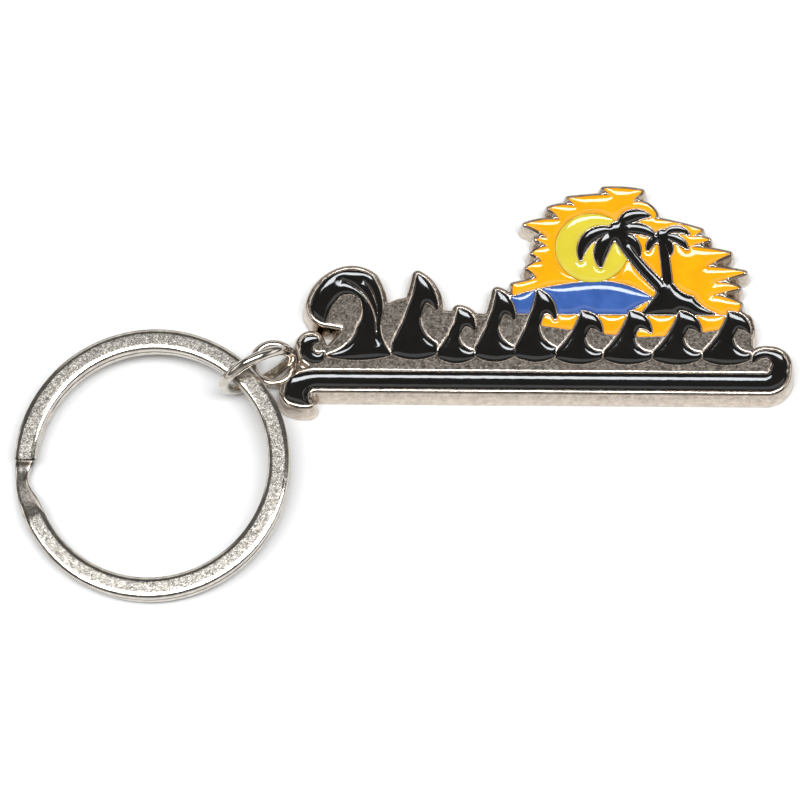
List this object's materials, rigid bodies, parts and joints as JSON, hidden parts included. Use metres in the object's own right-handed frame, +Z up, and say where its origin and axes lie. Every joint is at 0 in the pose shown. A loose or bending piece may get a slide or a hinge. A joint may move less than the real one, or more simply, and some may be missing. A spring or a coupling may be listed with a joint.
{
  "type": "souvenir key ring",
  "caption": "Die-cast enamelled souvenir tag with a wave pattern and a palm sunset, on a jump ring and a flat split ring that holds keys.",
  "frame": {"origin": "on the ground, under the middle of the whole key ring's bounding box as it lies at rest", "axes": "+X along the tag's straight bar from the eyelet to its far end, +Y towards the top of its picture, +Z up out of its face"},
  "size_m": [0.0846, 0.0478, 0.0091],
  "materials": {
    "cast_nickel": "nickel-plated casting, sandblasted flats and bright edges",
    "ring_wire": "nickel-plated steel wire, satin flats and bright edges",
    "enamel_orange": "glossy hardened enamel",
    "enamel_yellow": "glossy hardened enamel",
    "enamel_blue": "glossy hardened enamel",
    "enamel_black": "glossy hardened enamel"
  },
  "bodies": {
    "tag": {"tag_body": "cast_nickel", "enamel_wave_1": "enamel_black", "enamel_wave_2": "enamel_black", "enamel_wave_3": "enamel_black", "enamel_wave_4": "enamel_black", "enamel_wave_5": "enamel_black", "enamel_wave_6": "enamel_black", "enamel_wave_7": "enamel_black", "enamel_wave_8": "enamel_black", "enamel_breaker": "enamel_black", "enamel_spray_curl": "enamel_black", "enamel_bar": "enamel_black", "enamel_palms": "enamel_black", "enamel_sun": "enamel_yellow", "enamel_sea_1": "enamel_blue", "enamel_sea_2": "enamel_blue", "enamel_sand_1": "enamel_orange", "enamel_sand_2": "enamel_orange", "enamel_sand_3": "enamel_orange", "enamel_sand_4": "enamel_orange", "enamel_sky_1": "enamel_orange", "enamel_sky_2": "enamel_orange", "enamel_sky_3": "enamel_orange", "enamel_sky_4": "enamel_orange", "enamel_sky_5": "enamel_orange", "enamel_sky_6": "enamel_orange"},
    "jump_ring": {"jump_ring": "ring_wire"},
    "split_ring": {"split_ring": "ring_wire"}
  },
  "joints": [
    {"name": "jump_ring_swing", "type": "hinge", "parent": "tag", "child": "jump_ring", "pos_m": [-0.01433, 0.00318, 0.00181], "axis": [0, 0, 1], "range_deg": [-80, 3]},
    {"name": "split_ring_lift", "type": "hinge", "parent": "jump_ring", "child": "split_ring", "pos_m": [-0.01745, 0.00076, 0.00426], "axis": [-0.7033, 0.7108, -0.0013], "range_deg": [0, 140]}
  ]
}
